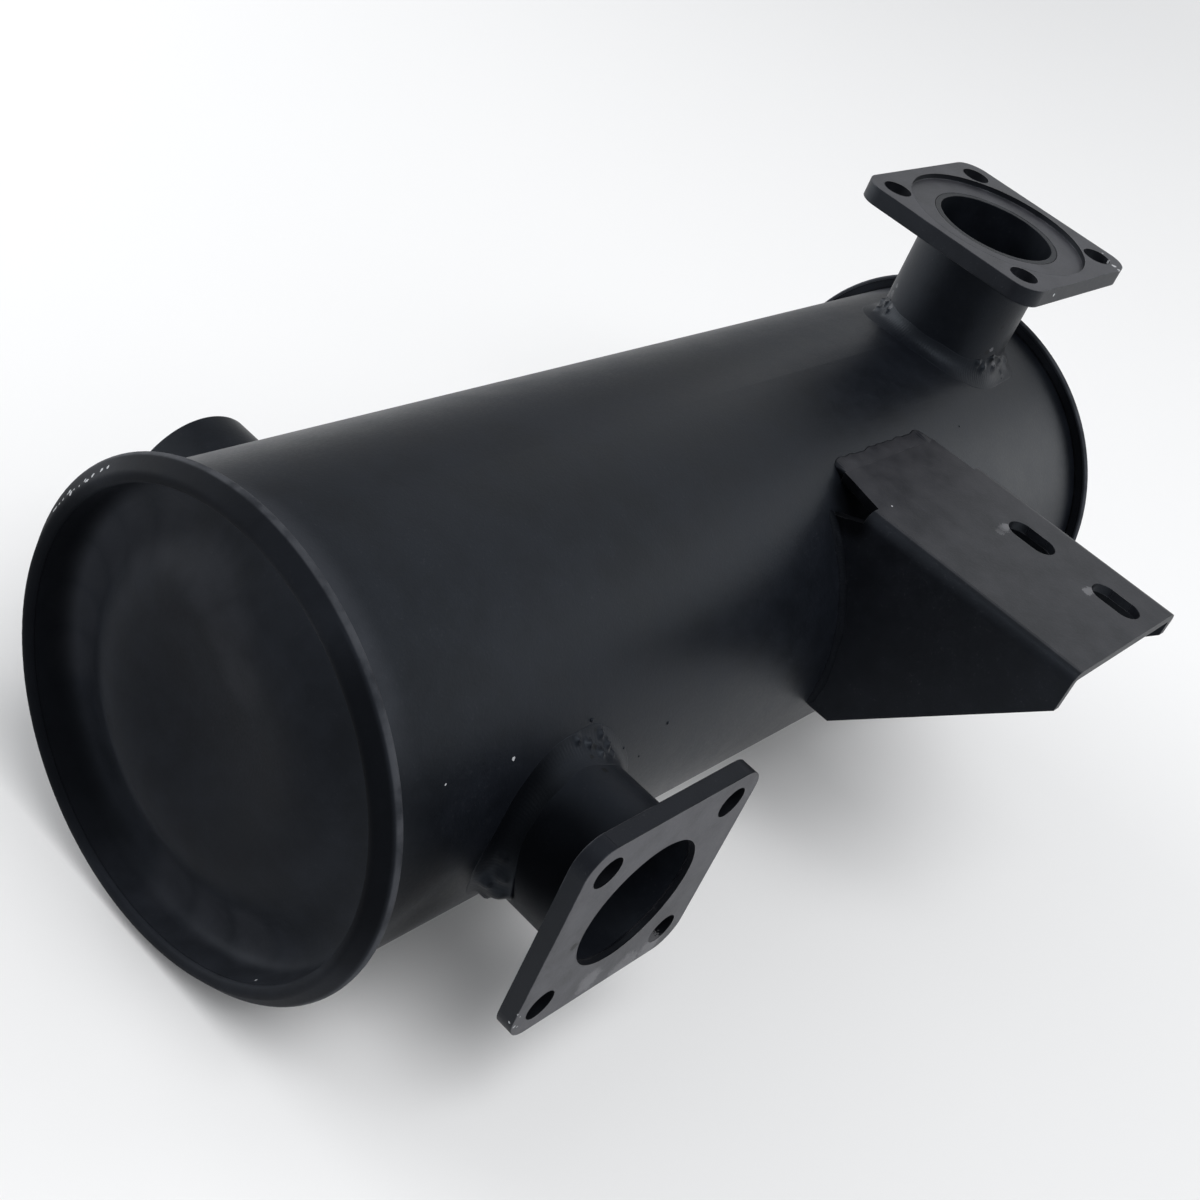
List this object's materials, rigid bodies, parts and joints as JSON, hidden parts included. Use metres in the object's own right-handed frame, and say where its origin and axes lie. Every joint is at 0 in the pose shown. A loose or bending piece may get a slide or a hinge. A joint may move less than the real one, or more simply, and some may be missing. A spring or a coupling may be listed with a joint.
{
  "type": "exhaust muffler",
  "caption": "Cylindrical welded exhaust muffler with rolled end rims, a top inlet flange, a side outlet flange, a plain tail stub and a slotted folded bracket.",
  "frame": {"origin": "centre of the inlet flange's bolt pattern, on the flange's face", "axes": "+X along the shell from the outlet end to the inlet end, +Z out of the inlet flange, -Y out of the outlet flange"},
  "size_m": [0.4804, 0.2934, 0.2441],
  "materials": {
    "black_heat_paint": "satin near-black heat paint on steel",
    "painted_weld": "the same paint over weld beads",
    "aluminised_inner_steel": "dull aluminised steel, dulled by soot"
  },
  "bodies": {
    "root": {"shell": "black_heat_paint", "inlet_end_cap": "black_heat_paint", "outlet_end_cap": "black_heat_paint", "inlet_flange": "black_heat_paint", "inlet_pipe": "black_heat_paint", "outlet_flange": "black_heat_paint", "outlet_pipe": "black_heat_paint", "tail_stub": "black_heat_paint", "mounting_bracket": "black_heat_paint", "shell_seam_weld": "painted_weld", "inlet_saddle_weld": "painted_weld", "inlet_flange_weld": "painted_weld", "outlet_saddle_weld": "painted_weld", "outlet_flange_weld": "painted_weld", "tail_stub_saddle_weld": "painted_weld", "bracket_plate_weld": "painted_weld", "bracket_near_weld": "painted_weld", "bracket_far_weld": "painted_weld", "inlet_baffle": "aluminised_inner_steel", "outlet_baffle": "aluminised_inner_steel", "upper_transfer_tube": "aluminised_inner_steel", "lower_transfer_tube": "aluminised_inner_steel", "inlet_diffuser": "aluminised_inner_steel", "inlet_diffuser_cap": "aluminised_inner_steel", "outlet_collector": "aluminised_inner_steel", "outlet_collector_cap": "aluminised_inner_steel"}
  },
  "joints": []
}
